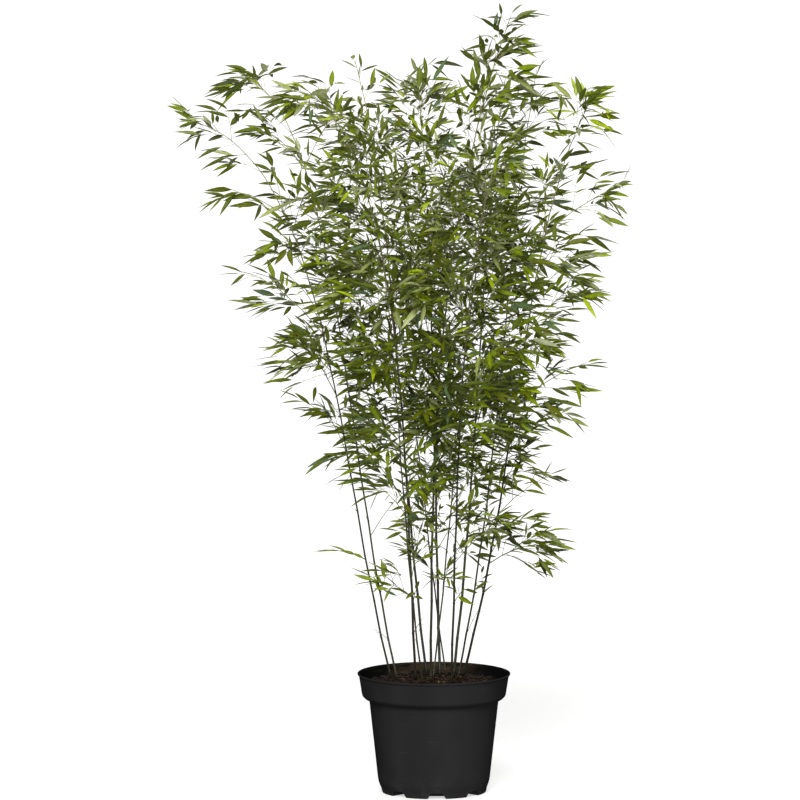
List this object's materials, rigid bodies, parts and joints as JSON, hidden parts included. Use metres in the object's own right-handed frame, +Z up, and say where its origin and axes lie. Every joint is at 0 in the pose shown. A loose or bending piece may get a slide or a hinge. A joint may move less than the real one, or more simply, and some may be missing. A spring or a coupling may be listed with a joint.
{
  "type": "potted bamboo",
  "caption": "Clump of slender arching bamboo with airy sprays of narrow leaves, growing from bark soil in a round black container with a wide band and a rolled rim.",
  "frame": {"origin": "centre of the pot's flat underside, on the level that the pot stands on", "axes": "+Z straight up along the pot's axis; +X to the right and -Y to the front as the plant is seen in the picture"},
  "size_m": [0.8801, 0.7172, 1.5723],
  "materials": {
    "pot_plastic": "satin black",
    "soil": "loose bark and compost",
    "cane": "smooth, waxy green",
    "leaf": "satin leaf"
  },
  "bodies": {
    "root": {"pot": "pot_plastic", "soil": "soil", "stem_01": "cane", "stem_02": "cane", "stem_03": "cane", "stem_04": "cane", "stem_05": "cane", "stem_06": "cane", "stem_07": "cane", "stem_08": "cane", "stem_09": "cane", "stem_10": "cane", "stem_11": "cane", "stem_12": "cane", "stem_13": "cane", "spray_top_01": "leaf", "spray_top_02": "leaf", "spray_top_03": "leaf", "spray_top_04": "leaf", "spray_top_05": "leaf", "spray_top_06": "leaf", "spray_top_07": "leaf", "spray_top_08": "leaf", "spray_top_09": "leaf", "spray_top_10": "leaf", "spray_top_11": "leaf", "spray_top_12": "leaf", "spray_top_13": "leaf", "spray_low_left": "leaf", "spray_low_middle": "leaf", "spray_low_right": "leaf", "spray_left_plume": "leaf", "spray_right_plume": "leaf", "spray_right_shelf": "leaf", "spray_side_01": "leaf", "spray_side_02": "leaf", "spray_side_03": "leaf", "spray_side_04": "leaf", "spray_side_05": "leaf", "spray_side_06": "leaf", "spray_side_07": "leaf", "spray_side_08": "leaf", "spray_side_09": "leaf", "spray_side_10": "leaf", "spray_side_11": "leaf", "spray_side_12": "leaf", "spray_side_13": "leaf", "spray_side_14": "leaf", "spray_side_15": "leaf", "spray_side_16": "leaf", "spray_side_17": "leaf", "spray_side_18": "leaf", "spray_side_19": "leaf", "spray_side_20": "leaf", "spray_side_21": "leaf", "spray_side_22": "leaf", "spray_side_23": "leaf", "spray_side_24": "leaf", "spray_side_25": "leaf", "spray_side_26": "leaf"}
  },
  "joints": []
}
